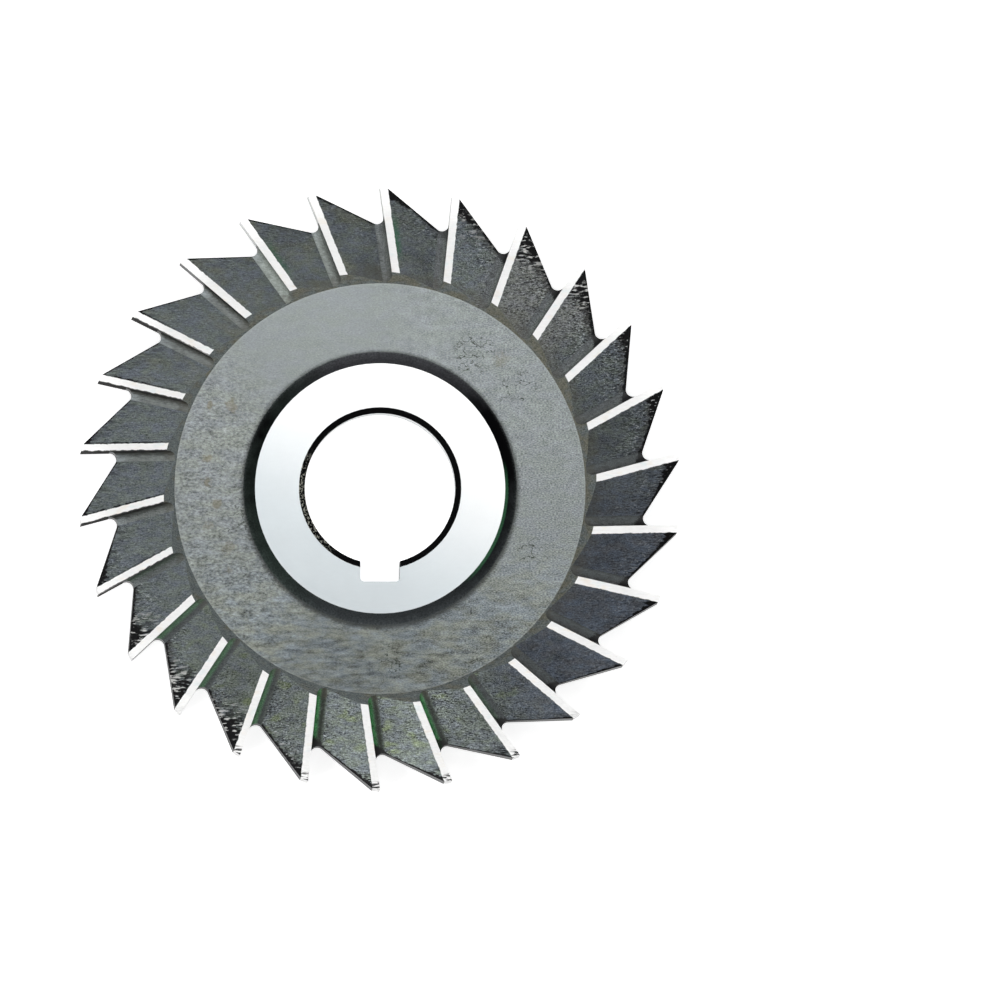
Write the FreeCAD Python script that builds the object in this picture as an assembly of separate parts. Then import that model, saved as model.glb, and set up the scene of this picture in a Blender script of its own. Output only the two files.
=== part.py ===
import FreeCAD, Part
import math
import os

# A straight-tooth side and face milling cutter, one piece of high-speed steel: a disc is turned with a hub and a
# recessed web on each side, the teeth are milled into its rim and both its sides, and the lands are ground last.
# It lies flat. Z is its axis, z = 0 its lower side, the keyway points along -Y and the origin is the bore's centre
# on the lower side. Seen from above it cuts anticlockwise. Lengths are in millimetres and angles in degrees.

# The body
TEETH = 26
OUTSIDE_DIAMETER = 101.6
WIDTH = 12.7
BORE_DIAMETER = 25.4
BORE_CHAMFER = 1.0
KEYWAY_WIDTH = 6.65
KEYWAY_ACROSS = 28.4  # from the keyway's floor to the far side of the bore
KEYWAY_CORNER_RADIUS = 0.7
HUB_DIAMETER = 42.6
HUB_FLANK_ANGLE = 30.0  # between the hub's flank and the axis
HUB_EDGE_BREAK = 0.2
HUB_FILLET = 1.6
WEB_DIAMETER = 69.3
RECESS_DEPTH = 1.6  # the web below the sides of the cutter
RIM_FLANK_ANGLE = 50.0  # between the axis and the flank that rises from the web to the teeth

# The teeth on the rim
RAKE = 8.0
RIM_LAND = 1.3  # width of the ground land behind each edge
RIM_RELIEF = 7.0
ROOT_DEPTH = 7.0  # below the outside diameter, to where the face and the next back would meet in a corner
ROOT_RADIUS = 1.2

# The teeth on the two sides
SIDE_LAND = 1.3
SIDE_RELIEF = 3.0
SIDE_BACK_ANGLE = 14.5  # how steeply a tooth's back falls away behind its land
SIDE_ROOT_RADIUS = 1.4

# The way it is made
GRINDING_ALLOWANCE = 0.5  # left on the blank's sides, over the teeth, and taken off by the relief cuts
OVERRUN = 4.0  # how far a milling cut starts outside the rim

# Derived sizes
PITCH = 360.0 / TEETH
TIP_RADIUS = OUTSIDE_DIAMETER / 2
FACE_OFFSET = TIP_RADIUS * math.sin(math.radians(RAKE))  # from the axis to the plane of a tooth's face
UP = FreeCAD.Vector(0, 0, 1)
AXIS_FOOT = FreeCAD.Vector(0, 0, 0)
KEYWAY_DIRECTION = -90.0  # a tooth's edge lies in line with the keyway
NODE = "side_and_face_cutter"


def turned(vector, degrees):
    """A vector turned about the cutter's axis."""
    return FreeCAD.Rotation(UP, degrees).multVec(vector)


def rounded_outline(corners):
    """A closed wire through (point, radius) corners, where a radius above zero becomes a tangent arc."""
    points = [point for point, radius in corners]
    entries = []
    exits = []
    arcs = []
    for index, (point, radius) in enumerate(corners):
        back = (points[index - 1] - point).normalize()
        ahead = (points[(index + 1) % len(points)] - point).normalize()
        if radius > 0:
            half = back.getAngle(ahead) / 2
            tangent = radius / math.tan(half)
            inward = (back + ahead).normalize()
            nearest = point + inward * (radius / math.sin(half) - radius)
            entries.append(point + back * tangent)
            exits.append(point + ahead * tangent)
            arcs.append(Part.Arc(entries[-1], nearest, exits[-1]).toShape())
        else:
            entries.append(point)
            exits.append(point)
            arcs.append(None)
    edges = []
    for index in range(len(corners)):
        if arcs[index]:
            edges.append(arcs[index])
        edges.append(Part.LineSegment(exits[index], entries[(index + 1) % len(corners)]).toShape())
    return Part.Wire(edges)


def turned_blank():
    """The disc as it leaves the lathe, with its hub, webs and chamfered bore, and no teeth."""
    bore = BORE_DIAMETER / 2
    hub = HUB_DIAMETER / 2
    web = WEB_DIAMETER / 2
    hub_foot = hub + RECESS_DEPTH * math.tan(math.radians(HUB_FLANK_ANGLE))
    rim_top = web + (RECESS_DEPTH + GRINDING_ALLOWANCE) * math.tan(math.radians(RIM_FLANK_ANGLE))
    rim = TIP_RADIUS + GRINDING_ALLOWANCE
    upper = [
        (bore, WIDTH - BORE_CHAMFER, 0),
        (bore + BORE_CHAMFER, WIDTH, 0),
        (hub - HUB_EDGE_BREAK, WIDTH, 0),
        (hub, WIDTH - HUB_EDGE_BREAK, 0),
        (hub_foot, WIDTH - RECESS_DEPTH, HUB_FILLET),
        (web, WIDTH - RECESS_DEPTH, 0),
        (rim_top, WIDTH + GRINDING_ALLOWANCE, 0),
        (rim, WIDTH + GRINDING_ALLOWANCE, 0),
    ]
    lower = [(radius, WIDTH - height, fillet) for radius, height, fillet in reversed(upper)]
    section = rounded_outline([(FreeCAD.Vector(r, 0, z), fillet) for r, z, fillet in upper + lower])
    return Part.Face(section).revolve(AXIS_FOOT, UP, 360)


def keyway():
    """What the broach takes out of the bore, through the full width."""
    floor = KEYWAY_ACROSS - BORE_DIAMETER / 2
    half = KEYWAY_WIDTH / 2
    corners = [
        (FreeCAD.Vector(half, 0, 0), 0),
        (FreeCAD.Vector(half, -floor, 0), KEYWAY_CORNER_RADIUS),
        (FreeCAD.Vector(-half, -floor, 0), KEYWAY_CORNER_RADIUS),
        (FreeCAD.Vector(-half, 0, 0), 0),
    ]
    return Part.Face(rounded_outline(corners)).extrude(UP * WIDTH)


# The first tooth has its edge on +X. Its face is a plane parallel to the axis that leans back by the rake angle.
TIP = FreeCAD.Vector(TIP_RADIUS, 0, 0)
INWARD = turned(FreeCAD.Vector(-1, 0, 0), RAKE)  # along the face, from the tip towards the hub
BEHIND = turned(INWARD, 90)  # square to the face, into the tooth


def reach(radius):
    """How far along the face, from the tip, the given radius lies."""
    return math.sqrt(TIP_RADIUS**2 - FACE_OFFSET**2) - math.sqrt(radius**2 - FACE_OFFSET**2)


def rim_teeth():
    """The prism whose outline is all the rim teeth: land, straight back, rounded root and face, tooth by tooth."""
    heel = TIP + turned(FreeCAD.Vector(0, -1, 0), -RIM_RELIEF) * RIM_LAND
    root = turned(TIP + INWARD * reach(TIP_RADIUS - ROOT_DEPTH), -PITCH)
    corners = []
    for tooth in range(TEETH):
        angle = KEYWAY_DIRECTION - tooth * PITCH
        corners.append((turned(TIP, angle), 0))
        corners.append((turned(heel, angle), 0))
        corners.append((turned(root, angle), ROOT_RADIUS))
    outline = Part.Face(rounded_outline(corners))
    outline.translate(-UP * OVERRUN)
    return outline.extrude(UP * (WIDTH + 2 * OVERRUN))


def side_gullet():
    """The milling cut between the first tooth's side land and the face of the tooth behind it, on the upper side."""
    edge = TIP + UP * WIDTH
    heel = edge + BEHIND * SIDE_LAND - UP * SIDE_LAND * math.tan(math.radians(SIDE_RELIEF))
    fall = BEHIND * math.cos(math.radians(SIDE_BACK_ANGLE)) - UP * math.sin(math.radians(SIDE_BACK_ANGLE))
    back_normal = fall.cross(INWARD).normalize()

    def corner_line(distance):
        """Where the back would meet the face of the tooth behind, this far in from that tooth's tip."""
        foot = turned(edge + INWARD * distance, -PITCH)
        return foot - UP * ((foot - heel).dot(back_normal) / back_normal.z)

    mid_web = (HUB_DIAMETER + WEB_DIAMETER) / 4
    start = corner_line(-OVERRUN)
    run = corner_line(reach(mid_web)) - start
    travel = FreeCAD.Vector(run).normalize()
    up_face = (UP - travel * UP.dot(travel)).normalize()
    up_back = travel.cross(back_normal).normalize()
    if up_back.dot(BEHIND) > 0:
        up_back = -up_back
    swath = up_back * (OUTSIDE_DIAMETER * math.pi / TEETH + 2 * OVERRUN)
    height = up_face * WIDTH / 2
    profile = [
        (start, SIDE_ROOT_RADIUS),
        (start + swath, 0),
        (start + swath + height, 0),
        (start + height, 0),
    ]
    return Part.Face(rounded_outline(profile)).extrude(run)


def side_relief():
    """The grinding cut that leaves the first tooth's side land, on the upper side."""
    edge = TIP + UP * WIDTH - INWARD * OVERRUN
    lean = math.tan(math.radians(SIDE_RELIEF))
    before = edge - (BEHIND - UP * lean) * SIDE_LAND
    after = edge + (BEHIND - UP * lean) * SIDE_LAND * 2
    corners = [(before, 0), (after, 0), (after + UP * SIDE_LAND, 0), (before + UP * SIDE_LAND, 0)]
    mid_web = (HUB_DIAMETER + WEB_DIAMETER) / 4
    return Part.Face(rounded_outline(corners)).extrude(INWARD * (OVERRUN + reach(mid_web)))


def around(cut):
    """One cut for every tooth, on both sides of the cutter."""
    below = cut.mirror(UP * WIDTH / 2, UP)
    cuts = []
    for tooth in range(TEETH):
        for side in (cut, below):
            placed = side.copy()
            placed.rotate(AXIS_FOOT, UP, KEYWAY_DIRECTION + tooth * PITCH)
            cuts.append(placed)
    return cuts


def cutter():
    """The whole cutter, in the order of its making."""
    body = turned_blank().cut(keyway())
    body = body.cut(around(side_gullet()))
    body = body.cut(around(side_relief()))
    return body.common(rim_teeth())


os.makedirs("parts", exist_ok=True)
solid = cutter().removeSplitter()
solid.exportStep(f"parts/{NODE}.step")
print(NODE, "solids", len(solid.Solids), "valid", solid.isValid(), "volume cm3", round(solid.Volume / 1000, 3))
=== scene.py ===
import math

import bmesh
import bpy
from mathutils import Matrix, Vector


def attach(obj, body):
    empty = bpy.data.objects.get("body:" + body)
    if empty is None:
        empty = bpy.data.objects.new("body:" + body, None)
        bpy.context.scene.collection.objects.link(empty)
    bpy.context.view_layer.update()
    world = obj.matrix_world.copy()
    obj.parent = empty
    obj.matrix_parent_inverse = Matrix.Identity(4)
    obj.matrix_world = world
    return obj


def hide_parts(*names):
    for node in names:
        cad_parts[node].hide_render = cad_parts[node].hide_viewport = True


# A side and face cutter on a white table, from straight above but for a slight lean, as in the photograph.
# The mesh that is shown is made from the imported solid, tooth by tooth.
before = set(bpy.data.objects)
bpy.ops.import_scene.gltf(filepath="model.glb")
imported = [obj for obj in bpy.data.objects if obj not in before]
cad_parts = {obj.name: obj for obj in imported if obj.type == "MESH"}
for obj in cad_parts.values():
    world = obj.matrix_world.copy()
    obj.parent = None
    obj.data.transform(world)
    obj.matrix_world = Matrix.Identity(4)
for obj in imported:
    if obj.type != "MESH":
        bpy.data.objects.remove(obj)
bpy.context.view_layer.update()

# The cutter's own sizes, in millimetres and degrees
MM = 0.001
NODE = "side_and_face_cutter"
TEETH = 26
PITCH = 360.0 / TEETH
TIP_RADIUS = 50.8
WIDTH = 12.7
BORE_RADIUS = 12.7
BORE_MOUTH_RADIUS = 13.7
HUB_RADIUS = 21.3
HUB_FOOT_RADIUS = 23.2
WEB_RADIUS = 34.65
WALL_SLOPE = 40.0  # how steeply the recess's wall rises from the web
RAKE = 8.0
SIDE_LAND = 1.3
RIM_LAND = 1.3
FIRST_EDGE = -90.0  # where the edge in line with the keyway lies
BOTTOM_WIDTH = 1.76  # how wide the rounded bottom of a side gullet is, ahead of the next tooth's face

# A tooth's back edge, from the heel of its land to the root, as distances behind its face and in from its tip
BACK_START = (1.3, 0.38)
BACK_END = (8.73, 8.48)
BACK_LENGTH = math.dist(BACK_START, BACK_END)
BACK_RUN = [(end - start) / BACK_LENGTH for start, end in zip(BACK_START, BACK_END)]

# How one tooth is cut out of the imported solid, to be repeated
SECTOR_START = FIRST_EDGE + 2.7  # where the plane through the axis stands that a sector starts at
SECTOR_CORNER_RADIUS = 34.0
SECTOR_INNER = SECTOR_CORNER_RADIUS * math.cos(math.radians(PITCH / 2))
WELD = 0.002
SNAP = 0.08
FLAT_ANGLE = math.radians(0.3)  # facets that bend less than this become one

# Each surface of the cutter has its own finish
LAND = 0
GULLET = 1
WEB = 2
WALL = 3
FACE = 4
BACK = 5
HUB = 6
CORNER = 7
BORE = 8
BOTTOM = 9

# How the surfaces are told apart: how upright their normals are, which way they look and where they lie
LEVEL = 0.9999
RELIEVED = 0.998  # the side lands, which fall by 3 degrees
WALL_UPRIGHT = math.cos(math.radians(WALL_SLOPE))
SLOPING = 0.02
SIDEWAYS = 0.01
LOOKS_INWARD = -0.5
LOOKS_AHEAD = 0.999
SIDE_MARGIN = 0.1  # the hub's face and the side lands lie no deeper than this
RIM_MARGIN = 0.4
SAME_PLACE = 0.01

# Bends that stay sharp: on the whole cutter, and where a land or the recess's wall meets something else
SHARP_BEND = 25.0
SHARP_BORDER = 2.0


def turned(vector, degrees):
    """A vector turned about the cutter's axis."""
    return Matrix.Rotation(math.radians(degrees), 3, "Z") @ vector


def outwards(degrees):
    """The direction away from the axis at this angle."""
    return turned(Vector((1, 0, 0)), degrees)


def merged_copy():
    """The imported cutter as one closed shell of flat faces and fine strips."""
    shell = bmesh.new()
    shell.from_mesh(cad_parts[NODE].data)
    bmesh.ops.scale(shell, vec=(1 / MM, 1 / MM, 1 / MM), verts=shell.verts)
    bmesh.ops.remove_doubles(shell, verts=shell.verts, dist=WELD)
    bmesh.ops.dissolve_limit(shell, angle_limit=FLAT_ANGLE, verts=shell.verts, edges=shell.edges)
    return shell


def keep_side(shell, point, normal):
    """Cuts the shell by a plane and keeps what the normal points away from."""
    parts = shell.verts[:] + shell.edges[:] + shell.faces[:]
    bmesh.ops.bisect_plane(shell, geom=parts, dist=1e-5, plane_co=point, plane_no=normal, clear_outer=True)


def middle_direction(tooth):
    """Where the middle of a tooth's sector lies."""
    return outwards(SECTOR_START + PITCH * (tooth + 0.5))


def tooth_sector():
    """One tooth with its share of the web, cut so that copies turned by the pitch meet edge to edge."""
    sector = merged_copy()
    start = outwards(SECTOR_START)
    first_normal = turned(start, -90)
    last_normal = turned(start, PITCH + 90)
    keep_side(sector, Vector(), first_normal)
    keep_side(sector, Vector(), last_normal)
    middle = middle_direction(0)
    keep_side(sector, middle * SECTOR_INNER, -middle)
    first_side = [corner for corner in sector.verts if abs(corner.co.dot(first_normal)) < WELD]
    last_side = [corner for corner in sector.verts if abs(corner.co.dot(last_normal)) < WELD]
    spare = []
    for side, others, turn in ((last_side, first_side, PITCH), (first_side, last_side, -PITCH)):
        for corner in side:
            partner = min(others, key=lambda other: (turned(other.co, turn) - corner.co).length)
            place = turned(partner.co, turn)
            if (place - corner.co).length > SNAP:
                spare.append(corner)
            elif side is last_side:
                corner.co = place
    bmesh.ops.dissolve_verts(sector, verts=spare)
    return sector


def hub_disc():
    """The hub and the inner web, which the tooth sectors close round."""
    disc = merged_copy()
    for tooth in range(TEETH):
        middle = middle_direction(tooth)
        keep_side(disc, middle * SECTOR_INNER, middle)
    rim = {point for edge in disc.edges if edge.is_boundary for point in edge.verts}
    first_corner = Vector((SECTOR_CORNER_RADIUS, 0, 0))
    corners = [turned(first_corner, SECTOR_START + PITCH * tooth) for tooth in range(TEETH)]
    for point in rim:
        nearest = min(corners, key=lambda corner: (corner.xy - point.co.xy).length)
        point.co.xy = nearest.xy
    bmesh.ops.remove_doubles(disc, verts=disc.verts, dist=WELD)
    return disc


def face_frame(tooth_edge):
    """The tip of a tooth, the way in along its face and the way behind it, for an edge at this angle."""
    outward = outwards(tooth_edge)
    inward = turned(-outward, RAKE)
    return outward * TIP_RADIUS, inward, turned(inward, 90)


def tooth_place(point, tooth_edge):
    """How far a point lies behind a tooth's face, and how far in from its tip along the face."""
    tip, inward, behind = face_frame(tooth_edge)
    return (point - tip).dot(behind), (point - tip).dot(inward)


# The face of the next tooth, as it lies in the layout of the tooth before it
NEXT_TIP = tooth_place(face_frame(-PITCH)[0], 0)
NEXT_BEHIND = (math.cos(math.radians(PITCH)), math.sin(math.radians(PITCH)))


def ahead_of_next(behind, inward):
    """How far ahead of the next tooth's face a place in the layout is, for numbers and for signals."""
    return (behind - NEXT_TIP[0]) * -NEXT_BEHIND[0] - (inward - NEXT_TIP[1]) * NEXT_BEHIND[1]


def own_tooth(point):
    """The edge angle of the tooth that a point of the cut sector belongs to."""
    edge = FIRST_EDGE + PITCH
    return edge + PITCH if tooth_place(point, edge)[0] < -0.001 else edge


def finish_of(face):
    """Which finish a face of the shell has, from where it lies and which way it looks."""
    normal = face.normal
    middle = face.calc_center_median()
    outward = Vector((middle.x, middle.y, 0)).normalized()
    radius = middle.xy.length
    upright = abs(normal.z)
    on_side = abs(middle.z - WIDTH / 2) > WIDTH / 2 - SIDE_MARGIN
    behind, inward = tooth_place(middle, own_tooth(middle))
    if upright > LEVEL:
        return HUB if on_side else WEB
    if radius < HUB_FOOT_RADIUS:
        return BORE if upright < SIDEWAYS else CORNER
    if upright > RELIEVED and on_side:
        return LAND
    if abs(upright - WALL_UPRIGHT) < SLOPING and normal.dot(outward) < LOOKS_INWARD:
        return WALL
    if upright > SLOPING:
        return BOTTOM if ahead_of_next(behind, inward) < BOTTOM_WIDTH else GULLET
    if radius > TIP_RADIUS - RIM_MARGIN and SAME_PLACE < behind < RIM_LAND:
        return LAND
    facing = outwards(FIRST_EDGE + PITCH + RAKE + 90)
    return FACE if normal.dot(facing) > LOOKS_AHEAD else BACK


def laid_out(shell):
    """Marks each face with its finish, and lays the teeth out by distance behind and along their faces."""
    finish_layer = shell.faces.layers.int.new("finish")
    layout = shell.loops.layers.uv.new("tooth")
    for face in shell.faces:
        face[finish_layer] = finish_of(face)
        edge = own_tooth(face.calc_center_median())
        for corner in face.loops:
            corner[layout].uv = tooth_place(corner.vert.co, edge)


def as_object(shell, name):
    """A Blender object, in metres, made from a shell in millimetres."""
    bmesh.ops.scale(shell, vec=(MM, MM, MM), verts=shell.verts)
    mesh = bpy.data.meshes.new(name)
    shell.to_mesh(mesh)
    shell.free()
    obj = bpy.data.objects.new(name, mesh)
    bpy.context.scene.collection.objects.link(obj)
    return obj


def feed(tree, node, inputs):
    """Joins a node's inputs to signals and sockets, or sets them to values."""
    for name, value in inputs.items():
        source = value.socket if isinstance(value, Signal) else value
        if isinstance(source, bpy.types.NodeSocket):
            tree.links.new(source, node.inputs[name])
        else:
            node.inputs[name].default_value = source


def add_node(tree, kind, inputs=None, **settings):
    """A new node in a tree, with its settings and what its inputs are fed."""
    node = tree.nodes.new(kind)
    for name, value in settings.items():
        setattr(node, name, value)
    feed(tree, node, inputs or {})
    return node


def separated(tree, vector):
    """The three parts of a vector, as signals."""
    return [Signal(tree, part) for part in add_node(tree, "ShaderNodeSeparateXYZ", {0: vector}).outputs]


class Signal:
    """A number that varies from place to place: the output of a node. Reckoning with it adds nodes."""

    def __init__(self, tree, socket):
        self.tree = tree
        self.socket = socket

    def maths(self, operation, *values):
        """The result of a calculation with signals and numbers."""
        node = add_node(self.tree, "ShaderNodeMath", dict(enumerate(values)), operation=operation)
        return Signal(self.tree, node.outputs[0])

    def __add__(self, other):
        return self.maths("ADD", self, other)

    def __sub__(self, other):
        return self.maths("SUBTRACT", self, other)

    def __rsub__(self, other):
        return self.maths("SUBTRACT", other, self)

    def __mul__(self, other):
        return self.maths("MULTIPLY", self, other)

    def __truediv__(self, other):
        return self.maths("DIVIDE", self, other)

    def __pow__(self, other):
        return self.maths("POWER", self, other)

    def __abs__(self):
        return self.maths("ABSOLUTE", self)

    def root(self):
        """The square root."""
        return self.maths("SQRT", self)

    def at_least(self, other):
        """The larger of the two."""
        return self.maths("MAXIMUM", self, other)

    def at_most(self, other):
        """The smaller of the two."""
        return self.maths("MINIMUM", self, other)

    def rise(self, low, high):
        """0 at low, 1 at high and a soft rise between them."""
        inputs = {"Value": self, "From Min": low, "From Max": high}
        node = add_node(self.tree, "ShaderNodeMapRange", inputs, interpolation_type="SMOOTHSTEP")
        return Signal(self.tree, node.outputs[0])

    def fall(self, low, high):
        """1 at low, 0 at high and a soft fall between them."""
        return 1.0 - self.rise(low, high)


def tooth_pattern(sector, disc, finishes):
    """Nodes that repeat the tooth about the axis, close the ring round the hub and give out the finishes."""
    tree = bpy.data.node_groups.new("teeth_round_the_hub", "GeometryNodeTree")
    tree.is_modifier = True
    interface = tree.interface
    interface.new_socket("Tooth", in_out="INPUT", socket_type="NodeSocketGeometry")
    teeth = interface.new_socket("Teeth", in_out="INPUT", socket_type="NodeSocketInt")
    hub = interface.new_socket("Hub", in_out="INPUT", socket_type="NodeSocketObject")
    weld = interface.new_socket("Weld", in_out="INPUT", socket_type="NodeSocketFloat")
    interface.new_socket("Cutter", in_out="OUTPUT", socket_type="NodeSocketGeometry")
    given = add_node(tree, "NodeGroupInput").outputs
    points = add_node(tree, "GeometryNodePoints", {"Count": given["Teeth"]}).outputs[0]
    index = add_node(tree, "GeometryNodeInputIndex").outputs[0]
    pitch = add_node(tree, "ShaderNodeMath", {0: math.tau, 1: given["Teeth"]}, operation="DIVIDE").outputs[0]
    angle = add_node(tree, "ShaderNodeMath", {0: index, 1: pitch}, operation="MULTIPLY").outputs[0]
    turn = add_node(tree, "FunctionNodeAxisAngleToRotation", {"Axis": (0, 0, 1), "Angle": angle}).outputs[0]
    copies = {"Points": points, "Instance": given["Tooth"], "Rotation": turn}
    ring = add_node(tree, "GeometryNodeInstanceOnPoints", copies).outputs[0]
    centre = add_node(tree, "GeometryNodeObjectInfo", {"Object": given["Hub"]}).outputs["Geometry"]
    joined = add_node(tree, "GeometryNodeJoinGeometry")
    for part in (ring, centre):
        feed(tree, joined, {0: part})
    real = add_node(tree, "GeometryNodeRealizeInstances", {0: joined.outputs[0]}).outputs[0]
    closed = {"Geometry": real, "Distance": given["Weld"]}
    last = add_node(tree, "GeometryNodeMergeByDistance", closed).outputs[0]
    kind = add_node(tree, "GeometryNodeInputNamedAttribute", {"Name": "finish"}, data_type="INT")
    for number, material in finishes.items():
        pair = {2: kind.outputs["Attribute"], 3: number}
        chosen = add_node(tree, "FunctionNodeCompare", pair, data_type="INT", operation="EQUAL").outputs[0]
        dress = {"Geometry": last, "Selection": chosen, "Material": material}
        last = add_node(tree, "GeometryNodeSetMaterial", dress).outputs[0]
    add_node(tree, "NodeGroupOutput", {0: last})
    modifier = sector.modifiers.new("teeth", "NODES")
    modifier.node_group = tree
    modifier[teeth.identifier] = TEETH
    modifier[hub.identifier] = disc
    modifier[weld.identifier] = WELD * MM
    return modifier


def linear(level):
    """A display level from 0 to 255 as the linear value that shows as it."""
    share = level / 255
    return share / 12.92 if share <= 0.04045 else ((share + 0.055) / 1.055) ** 2.4


def tone(red, green, blue):
    """A colour from its display levels."""
    return (linear(red), linear(green), linear(blue), 1)


UNLIT = tone(0, 0, 0)
BLACK = tone(5, 5, 6)
NOISE_CONTRAST = 8.0


class Finish:
    """A finish built up from nodes, on the cutter's own coordinates in millimetres. Angles are in degrees."""

    def __init__(self, name, metallic, roughness):
        self.material = bpy.data.materials.new(name)
        self.material.use_nodes = True
        self.tree = self.material.node_tree
        self.shader = self.tree.nodes["Principled BSDF"]
        self.shader.inputs["Metallic"].default_value = metallic
        self.roughness = roughness
        self.colour = None
        coordinates = self.put("ShaderNodeTexCoord").outputs["Object"]
        in_mm = {"Vector": coordinates, "Scale": (1 / MM, 1 / MM, 1 / MM)}
        self.place = self.put("ShaderNodeMapping", in_mm).outputs[0]
        self.x, self.y, self.z = separated(self.tree, self.place)
        self.radius = (self.x * self.x + self.y * self.y).root()

    def put(self, kind, inputs=None, **settings):
        """A new node of this finish."""
        return add_node(self.tree, kind, inputs, **settings)

    def cloud(self, size, detail=2.0, stretch=(1, 1, 1), seed=0.0, place=None):
        """Soft noise, mostly from -1 to 1, in patches this many millimetres across."""
        spread = self.put("ShaderNodeMapping", {
            "Vector": place or self.place,
            "Location": (seed, 2.3 * seed, 0.7 * seed),
            "Scale": [1 / (size * along) for along in stretch],
        })
        noise = self.put("ShaderNodeTexNoise", {"Vector": spread.outputs[0], "Scale": 1.0, "Detail": detail})
        return (Signal(self.tree, noise.outputs[0]) - 0.5) * NOISE_CONTRAST

    def rings(self, size, detail=3.0):
        """Noise that only changes with the distance from the axis, as turning marks do."""
        return self.cloud(size, detail, place=self.put("ShaderNodeCombineXYZ", {0: self.radius}).outputs[0])

    def levels(self, size, detail=2.0):
        """Noise that only changes with the height, as marks round a bore do."""
        return self.cloud(size, detail, place=self.put("ShaderNodeCombineXYZ", {2: self.z}).outputs[0])

    def towards(self, direction):
        """How far a place lies this way from the axis: 1 straight towards it, -1 straight away from it."""
        turn = math.radians(direction)
        return (self.x * math.cos(turn) + self.y * math.sin(turn)) / self.radius

    def sector(self, direction, full, none):
        """1 within the angle full of a direction from the axis, 0 beyond the angle none, and soft between."""
        return self.towards(direction).rise(math.cos(math.radians(none)), math.cos(math.radians(full)))

    def distance_from(self, x, y):
        """How far a place lies from a point of the side."""
        return ((self.x - x) ** 2.0 + (self.y - y) ** 2.0).root()

    def blend(self, first, second, share):
        """A colour that goes from the first to the second."""
        colours = {0: share, 6: first, 7: second}
        return self.put("ShaderNodeMix", colours, data_type="RGBA", clamp_factor=False).outputs[2]

    def coat(self, colour, share):
        """Lays a colour over what is there, as thickly as the share says."""
        self.colour = self.blend(self.colour, colour, share)

    def vary(self, *changes):
        """Makes the colour lighter and darker by signals, which add up."""
        total = sum(changes[1:], changes[0]) + 1.0
        self.colour = self.blend(UNLIT, self.colour, total.at_least(0.15))

    def speckle(self, light, dark):
        """Fine light chips and dark pits over the colour, each with its share."""
        for seed, colour, share in ((21.0, tone(142, 147, 148), light), (31.0, tone(34, 36, 42), dark)):
            specks = self.cloud(0.2, 1.0, (2, 1, 1), seed).rise(1.0, 1.6)
            self.coat(colour, specks * share)

    def finished(self, relief, depth, unevenness, amount=0.03):
        """Joins up the colour, the relief with its depth, and the changes in roughness."""
        raised = {"Strength": 1.0, "Distance": depth * MM, "Height": relief}
        bump = self.put("ShaderNodeBump", raised).outputs[0]
        rough = (unevenness * amount + self.roughness).at_least(0.15).at_most(0.95)
        feed(self.tree, self.shader, {"Base Color": self.colour, "Normal": bump, "Roughness": rough})
        return self.material

    def tooth_layout(self):
        """The distances behind a tooth's face and in from its tip."""
        return separated(self.tree, self.put("ShaderNodeUVMap", uv_map="tooth").outputs[0])[:2]

    def back_layout(self):
        """The distances in from a tooth's back edge and along it."""
        behind, inward = self.tooth_layout()
        across = behind - BACK_START[0]
        down = inward - BACK_START[1]
        return down * BACK_RUN[0] - across * BACK_RUN[1], down * BACK_RUN[1] + across * BACK_RUN[0]

    def coarse_side(self):
        """Where the milled steel looks coarser: at the upper right, and less so at the bottom."""
        return self.sector(50, 11.5, 32.9) + self.sector(275, 18.2, 43.9) * 0.45

    def roughest_teeth(self):
        """The two teeth at the upper right that are streaked most."""
        return self.sector(50.5, 8.1, 16.3)

    def burnt_side(self):
        """How heavily the teeth are blackened: most at the upper right and least at the upper left."""
        corners = self.x * self.y / (self.radius * self.radius) * 0.9
        patches = self.cloud(11.0, 1.0, seed=3.0) * 0.09
        bottom = self.sector(276, 0, 45.6) * 0.22
        return (corners + self.towards(0) * 0.24 + patches + 0.34 - bottom).at_least(0.03)

    def fierce_tips(self):
        """Where the tips are blackened most: at the upper right and the lower left."""
        return self.sector(53, 9.9, 23.1) + self.sector(228, 14.1, 25.8)

    def black_spots(self):
        """Spots at the tips of the lowest teeth, which run on from the milled slope over the ground land."""
        return self.cloud(0.3, 2.0, (5, 1, 1), 41.0).rise(-0.5, 0.2) * self.sector(270, 25.8, 45.6)


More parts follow.
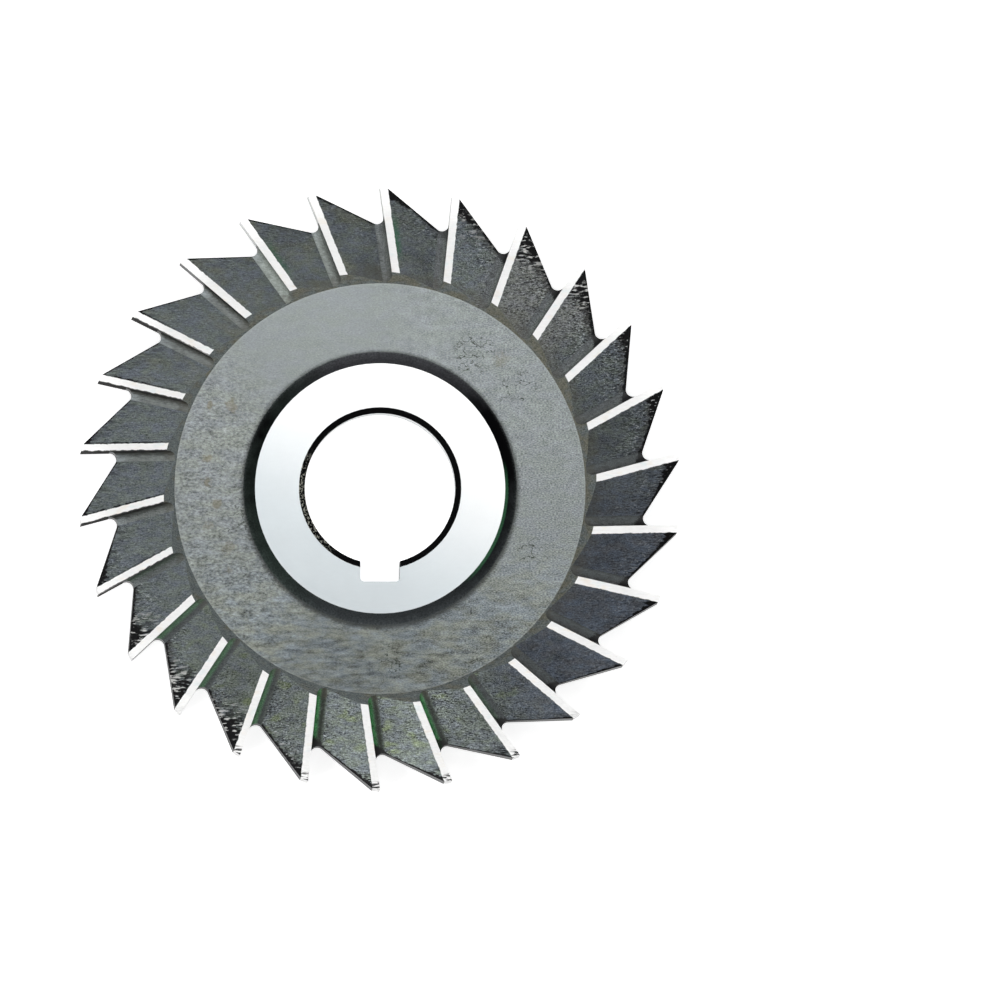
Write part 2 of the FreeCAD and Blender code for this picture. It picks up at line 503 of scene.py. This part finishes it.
def ground_land():
    """The bright ground lands on the sides and the rim of the teeth, with slightly uneven edges."""
    finish = Finish("ground_land", 0.1, 0.5)
    fine = finish.cloud(0.3, 1.0, (4, 1, 3))
    wide = finish.cloud(1.5, 2.0, (2, 1, 1), 5.0)
    behind, inward = finish.tooth_layout()
    finish.colour = finish.blend(tone(244, 244, 243), tone(240, 235, 227), wide.rise(0.3, 1.8))
    cool_tint_and_shade = finish.cloud(1.2, 2.0, (2, 1, 1), 6.0).rise(0.6, 1.8)
    finish.coat(tone(230, 238, 238), cool_tint_and_shade * 0.7)
    # Darker towards the upper left and whiter towards each tip: painted shade and painted light.
    finish.vary(finish.towards(110) * -0.08 - 0.05)
    finish.coat(tone(255, 255, 254), inward.fall(1.0, 7.0))
    finish.vary(fine * 0.02, wide * 0.012)
    scratch = finish.cloud(0.22, 2.0, (3, 1, 4), 11.0).rise(1.3, 1.8)
    finish.coat(tone(208, 210, 210), scratch * 0.3)
    uneven = finish.cloud(0.8, 2.0, seed=12.0) * 0.055
    heel = (behind + uneven).rise(SIDE_LAND - 0.06, SIDE_LAND + 0.01)
    finish.coat(tone(84, 90, 88), heel * inward.rise(0.3, 0.6))
    # A black line along the face's edge on the left teeth: painted shade and dark reflection, as on those
    # faces.
    edge = (behind + uneven).fall(0.12, 0.22)
    finish.coat(BLACK, edge * finish.sector(172, 25.8, 36.9))
    side = abs(finish.z - WIDTH / 2).rise(WIDTH / 2 - 1.0, WIDTH / 2 - 0.3)
    finish.coat(BLACK, finish.black_spots() * (inward + uneven).fall(0.9, 1.7) * side)
    return finish.finished(fine, 0.0012, wide)


# Lighter and darker teeth: direction, how far from it the change is full and where it ends, and the change
UNEVEN_TEETH = (
    (56, 5.7, 21.6, 0.2),
    (26, 0, 21.6, -0.1),
    (15, 3.6, 12.8, -0.08),
    (302, 5.7, 21.6, -0.2),
    (241, 3.6, 14.1, -0.16),
    (83, 5.1, 11.5, -0.08),
)

# Teeth with paler outer parts, in the same way, with how far in from the tip that reaches. On the lowest
# tooth this is painted light.
PALE_TEETH = ((276, 8.1, 19.9, 0.32, 11.0), (308, 4.4, 9.9, 0.17, 10.0))


def milled_tones(finish, inward, low, top):
    """The milled steel's own colours: bluish at the right, greener below, with oil at the top."""
    hue = finish.cloud(1.2, 3.0, (1.8, 1, 1), 6.0).rise(-1.4, 1.4)
    plain = finish.blend(tone(75, 80, 86), tone(77, 83, 80), hue)
    stained = finish.blend(tone(76, 81, 84), tone(78, 84, 78), hue)
    bluish = finish.blend(tone(72, 79, 89), tone(74, 77, 82), hue)
    finish.colour = finish.blend(finish.blend(plain, stained, low), bluish, finish.sector(332, 16.3, 38.7))
    finish.coat(tone(84, 83, 80), finish.roughest_teeth() * 0.5)
    oil = finish.cloud(2.6, 2.0, (1.8, 1, 1), 30.0).rise(-0.6, 1.4)
    finish.coat(tone(82, 84, 72), oil * top * 0.6)
    olive = finish.cloud(1.9, 1.0, (1.8, 1, 1), 26.0).rise(0.6, 1.7)
    finish.coat(tone(82, 92, 54), olive * low * inward.rise(5.0, 9.0) * 0.45)


def tooth_levels(finish, inward):
    """How much lighter and darker single teeth are than the rest."""
    levels = []
    for direction, full, none, change in UNEVEN_TEETH:
        levels.append(finish.sector(direction, full, none) * change)
    for direction, full, none, change, reach in PALE_TEETH:
        levels.append(finish.sector(direction, full, none) * inward.fall(reach - 6.0, reach) * change)
    return levels


def scorched_tips(finish, inside, inward, heavy, wide):
    """Ragged black scale in from each tooth's tip and back edge, with stripes where it is worst."""
    fierce = finish.fierce_tips()
    along = finish.back_layout()[1]
    taper = (1.0 - along / BACK_LENGTH).at_least(0.0)
    wedge = (taper**4.0 * 5.0 + 0.45) * heavy + 0.15
    ragged = finish.cloud(0.5, 2.0, (3.2, 1, 1), 7.0) * 0.3 + 1.0
    reach = (wedge + taper**5.0 * fierce * 2.4) * ragged
    singed = (inside / (reach + heavy * 1.6)).fall(0.4, 1.0) * heavy.rise(0.2, 0.8)
    finish.coat(tone(44, 41, 38), singed * 0.45)
    specks = (finish.cloud(0.26, 2.0, (3, 1, 1), 8.0) + fierce * 0.35).rise(0.9, 1.4)
    specks = specks * inside.rise(0.25, 0.5) * (inward.fall(3.5, 7.0) * 0.9 + 0.1)
    scale = finish.blend(BLACK, tone(158, 160, 160), specks * (heavy + fierce).rise(0.2, 0.7))
    finish.coat(scale, (inside / reach).fall(0.75, 1.1))
    stripes = finish.cloud(0.4, 2.0, (5, 1, 1), 51.0)
    striped = (inward + wide * 0.5).fall(3.2, 9.2) * fierce
    bare = stripes.rise(-0.5, -1.0) * inward.rise(1.8, 3.2)
    finish.coat(tone(176, 176, 174), bare * striped * 0.9)
    scorch = (stripes + striped * 0.7).rise(0.35, 0.75)
    finish.coat(BLACK, scorch * (striped * 1.3).at_most(1.0))
    finish.coat(BLACK, finish.black_spots() * inward.fall(2.0, 4.2))


def coolant_and_black_line(finish, behind, inward, streaks):
    """Beside the ground lands: green coolant at the top, and a broken black line at the left."""
    past_land = behind - SIDE_LAND
    green = (past_land + streaks * 0.25).fall(0.1, 1.3)
    where = finish.sector(86, 5.7, 12.8) + finish.sector(113, 3.6, 8.1) * 0.6
    middle = inward.rise(4.0, 7.5) * inward.fall(10.0, 13.5)
    finish.coat(tone(48, 84, 62), green * where * middle * 0.8)
    black_line_behind_land = (past_land + streaks * 0.06).fall(0.15, 0.34)
    where = finish.x.rise(-30.0, -42.0) * finish.y.rise(-22.0, -6.0)
    broken = finish.cloud(1.3, 1.0, seed=23.0).rise(-1.4, -0.9)
    finish.coat(BLACK, black_line_behind_land * where * broken)


def milled_side():
    """The dark milled slopes of the gullets, streaked straight across the cutter."""
    finish = Finish("milled_side", 0.85, 0.36)
    streaks = finish.cloud(0.2, 2.0, (4.5, 1, 1))
    grain = finish.cloud(0.17, 1.0, (1.6, 1, 1), 2.0)
    wide = finish.cloud(2.4, 2.0, (2, 1, 1), 4.0)
    behind, inward = finish.tooth_layout()
    inside = finish.back_layout()[0]
    near = inside.fall(0.5, 6.0)
    heavy = finish.burnt_side()
    coarse = finish.coarse_side()
    low = finish.sector(262, 25.8, 63.3)
    top = finish.sector(120, 18.2, 45.6)
    milled_tones(finish, inward, low, top)
    strength = (heavy + 0.15) * near * 0.5 + coarse * 0.1 + 0.15
    strength = strength + finish.roughest_teeth() * 0.25 + finish.sector(278, 14.1, 28.4) * 0.13
    grit = grain * (coarse * 0.2 - top * 0.07 + 0.23)
    murk = finish.cloud(1.4, 2.0, (2, 1, 1), 35.0) * (low * 0.07 + 0.03)
    beside = (ahead_of_next(behind, inward) + streaks * 0.15).fall(BOTTOM_WIDTH, BOTTOM_WIDTH + 1.1)
    shade = beside * finish.sector(262, 18.2, 31.8) * -0.3
    finish.vary(streaks * strength, grit, wide * 0.09, murk, shade, *tooth_levels(finish, inward))
    finish.speckle(coarse * 0.4 + near * heavy + 0.2, coarse * 0.4 + 0.15)
    smudge = finish.cloud(0.45, 2.0, (7, 1, 1), 33.0).rise(-0.3, 1.2) * inside.fall(0.2, 3.4)
    finish.coat(tone(38, 40, 44), smudge * (finish.x.rise(-20.0, -42.0) * 0.35 + 0.35))
    inner = (finish.radius + wide * 0.6).fall(35.6, 38.2)
    finish.coat(tone(72, 71, 63), inner * finish.sector(40, 53.1, 101.5) * 0.42)
    scorched_tips(finish, inside, inward, heavy, wide)
    coolant_and_black_line(finish, behind, inward, streaks)
    return finish.finished(streaks + grain, 0.003, wide)


def bottom_tones_and_painted_light(finish, soft, low, upper):
    """The colours of a gullet's bottom, from the foot of the next tooth's face to the milled slope: painted
    light at the upper left and on the right, painted shade at the left and below, and green coolant below.
    """
    right = finish.sector(62, 18.2, 63.3)
    painted_light_upper_left = finish.sector(115, 5.7, 15.2)
    far = finish.blend(tone(60, 65, 66), tone(74, 78, 80), right)
    far = finish.blend(far, tone(101, 106, 104), upper)
    far = finish.blend(far, tone(134, 141, 136), painted_light_upper_left)
    far = finish.blend(far, tone(31, 39, 29), low)
    far = finish.blend(far, tone(70, 78, 72), soft.rise(1.3, BOTTOM_WIDTH) * low)
    foot = finish.blend(tone(80, 83, 83), tone(105, 110, 108), right)
    foot = finish.blend(foot, tone(80, 82, 79), upper)
    foot = finish.blend(foot, tone(62, 65, 63), finish.sector(184, 8.1, 25.8))
    foot = finish.blend(foot, tone(90, 124, 96), finish.sector(250, 28.4, 56.6))
    foot = finish.blend(foot, tone(142, 149, 143), painted_light_upper_left)
    foot = finish.blend(foot, tone(54, 146, 74), soft.fall(0.35, 0.9) * low * 0.65)
    return finish.blend(foot, far, soft.rise(0.4, 1.1))


def gullet_bottom():
    """The rounded bottom of each side gullet: painted light at the upper left, painted shade below, and green
    with old coolant below.
    """
    finish = Finish("gullet_bottom", 0.3, 0.55)
    streaks = finish.cloud(0.22, 2.0, (4, 1, 1), 12.0)
    grain = finish.cloud(0.17, 1.0, seed=13.0)
    patches = finish.cloud(1.1, 2.0, seed=14.0)
    behind, inward = finish.tooth_layout()
    soft = ahead_of_next(behind, inward) + streaks * 0.07
    low = finish.sector(266, 11.5, 28.4)
    upper = finish.sector(145, 23.1, 72.5)
    finish.colour = bottom_tones_and_painted_light(finish, soft, low, upper)
    # A pale band at the outer end, at the upper left: painted light.
    outer = inward.fall(7.0, 12.0) * soft.rise(0.3, 0.8)
    finish.coat(tone(146, 154, 158), upper * outer * 0.7)
    coarse = finish.coarse_side()
    grit = grain * (coarse * 0.16 - finish.sector(140, 25.8, 53.1) * 0.15 + 0.24)
    finish.vary(streaks * 0.18, grit, patches * (low * 0.14 + 0.1))
    finish.speckle(coarse * 0.5, coarse * 0.5 + 0.1)
    # A dark band and a black line beside the next tooth's face on the left: painted shade.
    painted_dark_left = finish.sector(160, 29.5, 39.6)
    finish.coat(tone(46, 47, 38), soft.fall(0.2, 0.95) * painted_dark_left * 0.22)
    finish.coat(tone(20, 19, 17), soft.fall(0.12, 0.42) * painted_dark_left * 0.9)
    inner = (finish.radius + patches * 0.5).fall(35.4, 37.2)
    finish.coat(tone(66, 64, 54), inner * 0.45)
    spur = (finish.back_layout()[0] + grain * 0.12).fall(0.35, 0.8)
    finish.coat(BLACK, spur * finish.x.rise(-10.0, 25.0).at_least(finish.sector(268, 11.5, 25.8)))
    return finish.finished(streaks + grain, 0.002, grain)


# Old stains on the web: place, size and strength
STAINS = (
    (-29.2, 1.1, 1.0, 0.55),
    (-29.0, 5.0, 0.9, 0.55),
    (-27.5, -2.6, 0.9, 0.5),
    (-29.0, -6.3, 0.8, 0.35),
    (-25.4, -10.0, 1.4, 0.35),
    (-25.3, -13.8, 0.7, 0.35),
    (-24.9, 14.0, 1.2, 0.5),
    (-28.5, 14.1, 0.8, 0.55),
    (20.4, 21.7, 1.5, 0.3),
)

# Fine wrinkles in the old film on the web: place and size
WRINKLES = ((15.7, 22.8, 4.4), (22.9, 17.1, 4.2), (25.3, -10.6, 3.2), (1.5, -28.5, 3.4), (-24.5, -5.0, 3.6))


def turned_web():
    """The recessed web, fine turned and stained, with a papery grain, and painted shade towards the bottom
    and round the hub's foot.
    """
    finish = Finish("turned_web", 0.8, 0.42)
    low = finish.y.rise(-2.0, -28.0)
    left = finish.sector(188, 21.6, 60)
    right = finish.x.rise(-4.0, 24.0)
    grain = finish.cloud(0.15, 1.0, (2.2, 1, 1)) * (right * 0.2 + low * 0.04 + 0.07)
    paper = finish.cloud(0.3, 2.0, (1.6, 1, 1), 2.0)
    papery = paper * (left * 0.22 + low * 0.04 + 0.03)
    waves = finish.cloud(0.7, 3.0, (3.2, 1, 1), 4.0) * (low * 0.19 + 0.015)
    blotches = finish.cloud(1.3, 2.0, (1.5, 1, 1), 19.0)
    blotches = blotches * (left * 0.1 + finish.sector(45, 18.2, 53.1) * 0.08 + 0.015)
    patches = finish.cloud(5.0, 3.0, (1.4, 1, 1), 6.0)
    hue = finish.cloud(1.6, 3.0, (2.2, 1, 1), 8.0).rise(-1.5, 1.5)
    bluish = finish.blend(tone(117, 122, 124), tone(114, 122, 126), low)
    olive = finish.blend(tone(116, 122, 120), tone(118, 122, 114), low.at_least(left * 0.45))
    finish.colour = finish.blend(bluish, olive, hue)
    # Darker towards the bottom: painted shade.
    painted_shade_below = finish.sector(279, 14.1, 56.6) * -0.17
    wear_and_glint = finish.sector(38, 16.3, 41.4) * 0.03
    finish.vary(waves, grain, papery, blotches, patches * 0.03, finish.rings(0.45) * 0.012, painted_shade_below, wear_and_glint)
    crack = abs(finish.cloud(1.9, 4.0, (1.4, 1, 1), 14.0)).fall(0.03, 0.14)
    for x, y, size in WRINKLES:
        where = (finish.distance_from(x, y) + patches * 0.4).fall(0.5 * size, size)
        finish.coat(tone(46, 50, 44), crack * where * 0.9)
    fleck = finish.cloud(0.3, 1.0, seed=17.0).rise(1.2, 1.7)
    finish.coat(tone(146, 149, 146), fleck * 0.35)
    for x, y, size, strength in STAINS:
        ragged = finish.cloud(0.8, 3.0, seed=x) * (0.35 * size)
        spot = (finish.distance_from(x, y) + ragged).fall(0.3 * size, 1.1 * size)
        finish.coat(tone(102, 95, 74), spot * strength)
    # A dark ring round the hub's foot, wider below: painted shade.
    ring = finish.radius + paper * 0.06 - finish.towards(270) * 0.2
    painted_shade_round_hub = ring.fall(HUB_FOOT_RADIUS - 0.2, HUB_FOOT_RADIUS + 0.75)
    finish.coat(tone(48, 50, 49), painted_shade_round_hub * 0.85)
    rim = finish.radius.rise(WEB_RADIUS - 0.35, WEB_RADIUS - 0.1)
    finish.coat(tone(138, 141, 138), rim * 0.25)
    return finish.finished(grain * 6.0 + papery * 8.0, 0.004, patches)


def turned_wall():
    """The sloping wall of the recess, brown with old oil, with painted light at the upper left and painted
    shade at the lower right.
    """
    finish = Finish("turned_wall", 0.3, 0.55)
    grain = finish.cloud(0.18, 1.0, (1.5, 1, 1))
    streaks = finish.cloud(0.3, 3.0, (4, 1, 1), 2.0)
    patches = finish.cloud(1.6, 3.0, (2, 1, 1), 4.0)
    brown = (patches + finish.towards(40) * 0.8).rise(-1.0, 1.4)
    finish.colour = finish.blend(tone(93, 100, 100), tone(94, 94, 83), brown)
    # Lighter at the upper left and darker at the lower right, most at the foot: painted light and painted
    # shade.
    light = finish.sector(142, 18.2, 53.1) * 0.1
    foot = 1.3 - finish.radius.rise(WEB_RADIUS + 0.5, WEB_RADIUS + 1.2)
    dark = finish.sector(324, 16.3, 41.4) * foot * -0.1
    finish.vary(grain * 0.24, streaks * 0.16, patches * 0.05, light, dark)
    return finish.finished(grain, 0.002, patches)


def ground_face():
    """The ground cutting faces, with fine lines across the width, painted near black on the left as dark
    reflection and shade.
    """
    finish = Finish("ground_face", 0.8, 0.33)
    finish.shader.inputs["Specular IOR Level"].default_value = 0.05
    lines = finish.cloud(0.16, 2.0, (1, 1, 14))
    wide = finish.cloud(2.0, 2.0, seed=3.0)
    # Near black on the left, with little gloss: painted dark reflection and painted shade.
    painted_dark_left = finish.sector(172, 28.4, 51.7)
    finish.colour = finish.blend(tone(164, 169, 172), tone(178, 178, 172), wide.rise(-1.0, 1.0))
    finish.coat(finish.blend(tone(18, 17, 17), tone(34, 31, 27), wide.rise(-1.0, 1.4)), painted_dark_left)
    finish.vary(lines * 0.08, wide * 0.04)
    feed(finish.tree, finish.shader, {"Metallic": 0.8 - painted_dark_left * 0.8})
    finish.roughness = painted_dark_left * 0.45 + 0.33
    return finish.finished(lines, 0.0015, wide)


def milled_back():
    """The backs of the teeth and the roots between them, milled across the width, dark at both sides, and
    with painted shade on the lowest teeth.
    """
    finish = Finish("milled_back", 0.35, 0.5)
    finish.shader.inputs["Specular IOR Level"].default_value = 0.15
    lines = finish.cloud(0.3, 3.0, (1, 1, 12))
    grain = finish.cloud(0.3, 1.0, seed=3.0)
    wide = finish.cloud(3.0, 2.0, seed=5.0)
    finish.colour = finish.blend(tone(92, 95, 98), tone(98, 98, 91), wide.rise(-1.0, 1.0))
    # Darker on the teeth at the bottom: painted shade.
    finish.coat(tone(40, 42, 43), finish.sector(262, 25.8, 60) * 0.85)
    finish.vary(lines * 0.18, grain * 0.12)
    side = abs(finish.z - WIDTH / 2) + finish.cloud(0.9, 2.0, seed=7.0) * 0.4
    finish.coat(BLACK, side.rise(WIDTH / 2 - 1.5, WIDTH / 2 - 0.5) * 0.85)
    return finish.finished(lines, 0.004, wide, 0.04)


def ground_hub():
    """The bright ground face of the hub, with the faintest of circular lines and painted bluish shade towards
    the lower left.
    """
    finish = Finish("ground_hub", 0.85, 0.36)
    turning = finish.rings(0.22, 2.0)
    fine = finish.cloud(0.4, 2.0, (3, 1, 1))
    # Bluish grey towards the lower left: painted shade.
    cool_tint_and_shade = (finish.x * 0.5 + finish.y).rise(14.0, -16.0)
    finish.colour = finish.blend(tone(214, 215, 215), tone(199, 206, 209), cool_tint_and_shade)
    finish.vary(turning * 0.006, fine * 0.005, finish.cloud(8.0, 2.0, seed=4.0) * 0.01)
    return finish.finished(turning, 0.0004, fine, 0.01)


def dark_corner_painted_shade():
    """The dark flank and foot of the hub and the mouth of the bore, with painted shade and painted dark
    reflection that change round the axis, and painted glints at the mouth on the left.
    """
    finish = Finish("dark_corner_painted_shade", 0.0, 0.7)
    finish.shader.inputs["Specular IOR Level"].default_value = 0.03
    grain = finish.cloud(0.3, 2.0)
    patches = finish.cloud(3.0, 2.0, seed=3.0)
    finish.colour = finish.blend(tone(58, 62, 64), tone(64, 65, 68), finish.sector(90, 25.8, 107.5))
    finish.coat(tone(53, 63, 59), finish.sector(180, 31.8, 69.5))
    # Darker at the right and in some other directions: painted shade and painted dark reflection.
    dark = (finish.towards(0) ** 2.0 - 0.5) * 0.8 + patches * 0.08 + 0.36
    for direction, none, share in ((26, 29.5, 0.5), (138, 31.8, 0.3), (208, 25.8, -0.2)):
        dark = dark + finish.sector(direction, 0, none) * share
    finish.coat(tone(4, 4, 5), dark.at_least(0.0).at_most(1.0))
    inner = (finish.radius + grain * 0.05).fall(HUB_RADIUS + 0.2, HUB_RADIUS + 0.45)
    finish.coat(tone(66, 116, 82), inner * finish.sector(342, 14.1, 31.8) * 0.75)
    foot = (finish.radius + grain * 0.08).rise(HUB_FOOT_RADIUS - 0.6, HUB_FOOT_RADIUS + 0.8)
    finish.coat(tone(84, 89, 89), foot)
    # The bore's mouth painted black as a dark reflection, with painted glints on its left.
    mouth = finish.radius.fall(BORE_MOUTH_RADIUS + 0.4, BORE_MOUTH_RADIUS + 0.6)
    finish.coat(BLACK, mouth)
    wear_and_glint = finish.cloud(0.35, 1.0, seed=9.0).rise(0.3, 0.8) * finish.sector(192, 25.8, 43.9)
    finish.coat(tone(150, 150, 140), wear_and_glint * mouth)
    finish.vary(grain * 0.16)
    return finish.finished(grain, 0.003, patches)


def ground_bore():
    """The bore and the keyway, ground fine."""
    finish = Finish("ground_bore", 0.8, 0.4)
    lines = finish.levels(0.16)
    wide = finish.cloud(2.5, 2.0, seed=3.0)
    keyway = finish.radius.rise(BORE_RADIUS + 0.1, BORE_RADIUS + 0.6)
    finish.colour = finish.blend(tone(190, 193, 194), tone(138, 141, 143), keyway)
    finish.vary(lines * 0.04, wide * 0.04)
    return finish.finished(lines, 0.0006, wide)


finishes = {
    LAND: ground_land(),
    GULLET: milled_side(),
    WEB: turned_web(),
    WALL: turned_wall(),
    FACE: ground_face(),
    BACK: milled_back(),
    HUB: ground_hub(),
    CORNER: dark_corner_painted_shade(),
    BORE: ground_bore(),
    BOTTOM: gullet_bottom(),
}


def finished_mesh(obj):
    """The plain mesh that an object's modifiers make of it."""
    graph = bpy.context.evaluated_depsgraph_get()
    graph.update()
    made = obj.evaluated_get(graph)
    return bpy.data.meshes.new_from_object(made, preserve_all_data_layers=True, depsgraph=graph)


def made_cutter():
    """The whole cutter as one closed mesh."""
    sector = tooth_sector()
    disc = hub_disc()
    for shell in (sector, disc):
        shell.normal_update()
        laid_out(shell)
    tooth = as_object(sector, "tooth")
    hub = as_object(disc, "hub")
    modifier = tooth_pattern(tooth, hub, finishes)
    mesh = finished_mesh(tooth)
    tooth.modifiers.remove(modifier)
    for source in (tooth, hub):
        bpy.data.objects.remove(source)
    if mesh.materials[0] is None:
        mesh.materials.pop(index=0)
    cutter = bpy.data.objects.new("cutter", mesh)
    bpy.context.scene.collection.objects.link(cutter)
    return cutter


def crisp(cutter):
    """Keeps the real edges sharp and lets the fillets run smoothly into what they meet."""
    shell = bmesh.new()
    shell.from_mesh(cutter.data)
    finish_layer = shell.faces.layers.int["finish"]
    for face in shell.faces:
        face.smooth = True
    for edge in shell.edges:
        if len(edge.link_faces) != 2:
            edge.smooth = False
            continue
        kinds = {face[finish_layer] for face in edge.link_faces}
        bend = math.degrees(edge.calc_face_angle())
        border = len(kinds) == 2 and (LAND in kinds or WALL in kinds)
        edge.smooth = bend <= (SHARP_BORDER if border else SHARP_BEND)
    shell.to_mesh(cutter.data)
    shell.free()
    weighted = cutter.modifiers.new("weighted", "WEIGHTED_NORMAL")
    weighted.keep_sharp = True
    mesh = finished_mesh(cutter)
    cutter.modifiers.remove(weighted)
    cutter.data = mesh


cutter = made_cutter()
crisp(cutter)
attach(cutter, "root")
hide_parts(NODE)

# The camera, which has no perspective, from the cutter's place in the photograph in pixels
PHOTO_SIZE = 1000
PHOTO_AXIS = (380.1, 488.4)
PHOTO_TIP_RADIUS = 301.3
PIXEL = TIP_RADIUS / PHOTO_TIP_RADIUS * MM
VIEW_SIZE = PHOTO_SIZE * PIXEL
VIEW_CENTRE = ((PHOTO_SIZE / 2 - PHOTO_AXIS[0]) * PIXEL, (PHOTO_AXIS[1] - PHOTO_SIZE / 2) * PIXEL, WIDTH * MM)
VIEW_LEAN = 2.0  # how far off the vertical the photograph was taken, in degrees
VIEW_SIDE = 244.0
VIEW_DISTANCE = 1.0

# The table and the room. From here on lengths are in metres.
TABLE_HALF = 3.0
TABLE_GAP = 0.00002
TABLE_LIGHT = 0.8
AMBIENT_LIGHT = 0.15
WALL_LIGHT = 1.0
CEILING_LIGHT = 0.2
CEILING_HEIGHTS = (0.35, 0.8)  # upward part of a direction where the walls end and the ceiling begins

# Lamps in a ring and two low ones, by the direction they stand in, with their power in watts
TENT = {0: 0.036, 60: 0.052, 120: 0.028, 150: 0.128, 180: 0.032, 210: 0.456, 270: 0.056, 330: 0.080}
TENT_ELEVATION = 61
TENT_SIZE = 0.12
LOW = {225: 0.14, 270: 0.136}
LOW_ELEVATION = 20
LOW_SIZE = 0.22
LAMP_DISTANCE = 0.45

# Soft lamps close above the hub: x, y and power
SOFT = ((0.0, 0.07, 0.067), (-0.05, 0.07, 0.038), (0.07, 0.02, 0.057))
SOFT_HEIGHT = 0.19
SOFT_SIZE = 0.10
SOFT_AIM = 0.6  # the share of their x and y at which they point


def table_top():
    """A large white table that glows a little, so that it shows as plain white."""
    mesh = bpy.data.meshes.new("table_top")
    corners = [(x * TABLE_HALF, y * TABLE_HALF, -TABLE_GAP) for x, y in ((-1, -1), (1, -1), (1, 1), (-1, 1))]
    mesh.from_pydata(corners, [], [(0, 1, 2, 3)])
    table = bpy.data.objects.new("table_top", mesh)
    bpy.context.scene.collection.objects.link(table)
    material = bpy.data.materials.new("white_table")
    material.use_nodes = True
    tree = material.node_tree
    path = add_node(tree, "ShaderNodeLightPath").outputs
    seen = Signal(tree, path["Is Camera Ray"]).at_least(path["Is Glossy Ray"])
    feed(tree, tree.nodes["Principled BSDF"], {
        "Base Color": (0.8, 0.8, 0.8, 1),
        "Roughness": 0.9,
        "Emission Color": (1, 1, 1, 1),
        "Emission Strength": seen * TABLE_LIGHT,
    })
    table.data.materials.append(material)


def studio_world():
    """A white room, which is dimmer overhead in reflections, with a little light from all sides."""
    world = bpy.data.worlds.new("studio")
    world.use_nodes = True
    bpy.context.scene.world = world
    tree = world.node_tree
    upward = separated(tree, add_node(tree, "ShaderNodeTexCoord").outputs["Generated"])[2]
    room = upward.rise(*CEILING_HEIGHTS) * (CEILING_LIGHT - WALL_LIGHT) + WALL_LIGHT
    path = add_node(tree, "ShaderNodeLightPath").outputs
    strength = room * Signal(tree, path["Is Glossy Ray"])
    for other in (path["Is Camera Ray"], path["Is Transmission Ray"], AMBIENT_LIGHT):
        strength = strength.at_least(other)
    feed(tree, tree.nodes["Background"], {"Color": (1, 1, 1, 1), "Strength": strength})


def aimed(azimuth, elevation, distance):
    """A place this far from the cutter in the given direction."""
    flat = math.cos(math.radians(elevation)) * distance
    return (
        flat * math.cos(math.radians(azimuth)),
        flat * math.sin(math.radians(azimuth)),
        distance * math.sin(math.radians(elevation)),
    )


def lamp(name, place, size, power, target=(0, 0, 0)):
    """A round soft lamp that points at its target."""
    light = bpy.data.lights.new(name, "AREA")
    light.shape = "DISK"
    light.size = size
    light.energy = power
    obj = bpy.data.objects.new(name, light)
    obj.location = place
    obj.rotation_euler = (Vector(target) - Vector(place)).to_track_quat("-Z", "Y").to_euler()
    bpy.context.scene.collection.objects.link(obj)


def photo_camera():
    """The camera that took the photograph."""
    camera = bpy.data.cameras.new("camera")
    camera.type = "ORTHO"
    camera.ortho_scale = VIEW_SIZE
    camera.clip_start = 0.01
    camera.clip_end = 10
    obj = bpy.data.objects.new("camera", camera)
    towards = Vector(aimed(VIEW_SIDE, 90 - VIEW_LEAN, VIEW_DISTANCE))
    obj.location = Vector(VIEW_CENTRE) + towards
    obj.rotation_euler = Vector((0, 0, 1)).rotation_difference(towards).to_euler()
    bpy.context.scene.collection.objects.link(obj)
    bpy.context.scene.camera = obj


table_top()
studio_world()
for azimuth, power in TENT.items():
    lamp(f"tent_{azimuth}", aimed(azimuth, TENT_ELEVATION, LAMP_DISTANCE), TENT_SIZE, power)
for azimuth, power in LOW.items():
    lamp(f"low_{azimuth}", aimed(azimuth, LOW_ELEVATION, LAMP_DISTANCE), LOW_SIZE, power)
for number, (x, y, power) in enumerate(SOFT):
    lamp(f"soft_{number}", (x, y, SOFT_HEIGHT), SOFT_SIZE, power, (x * SOFT_AIM, y * SOFT_AIM, 0))
photo_camera()
bpy.context.scene.view_settings.view_transform = "Standard"
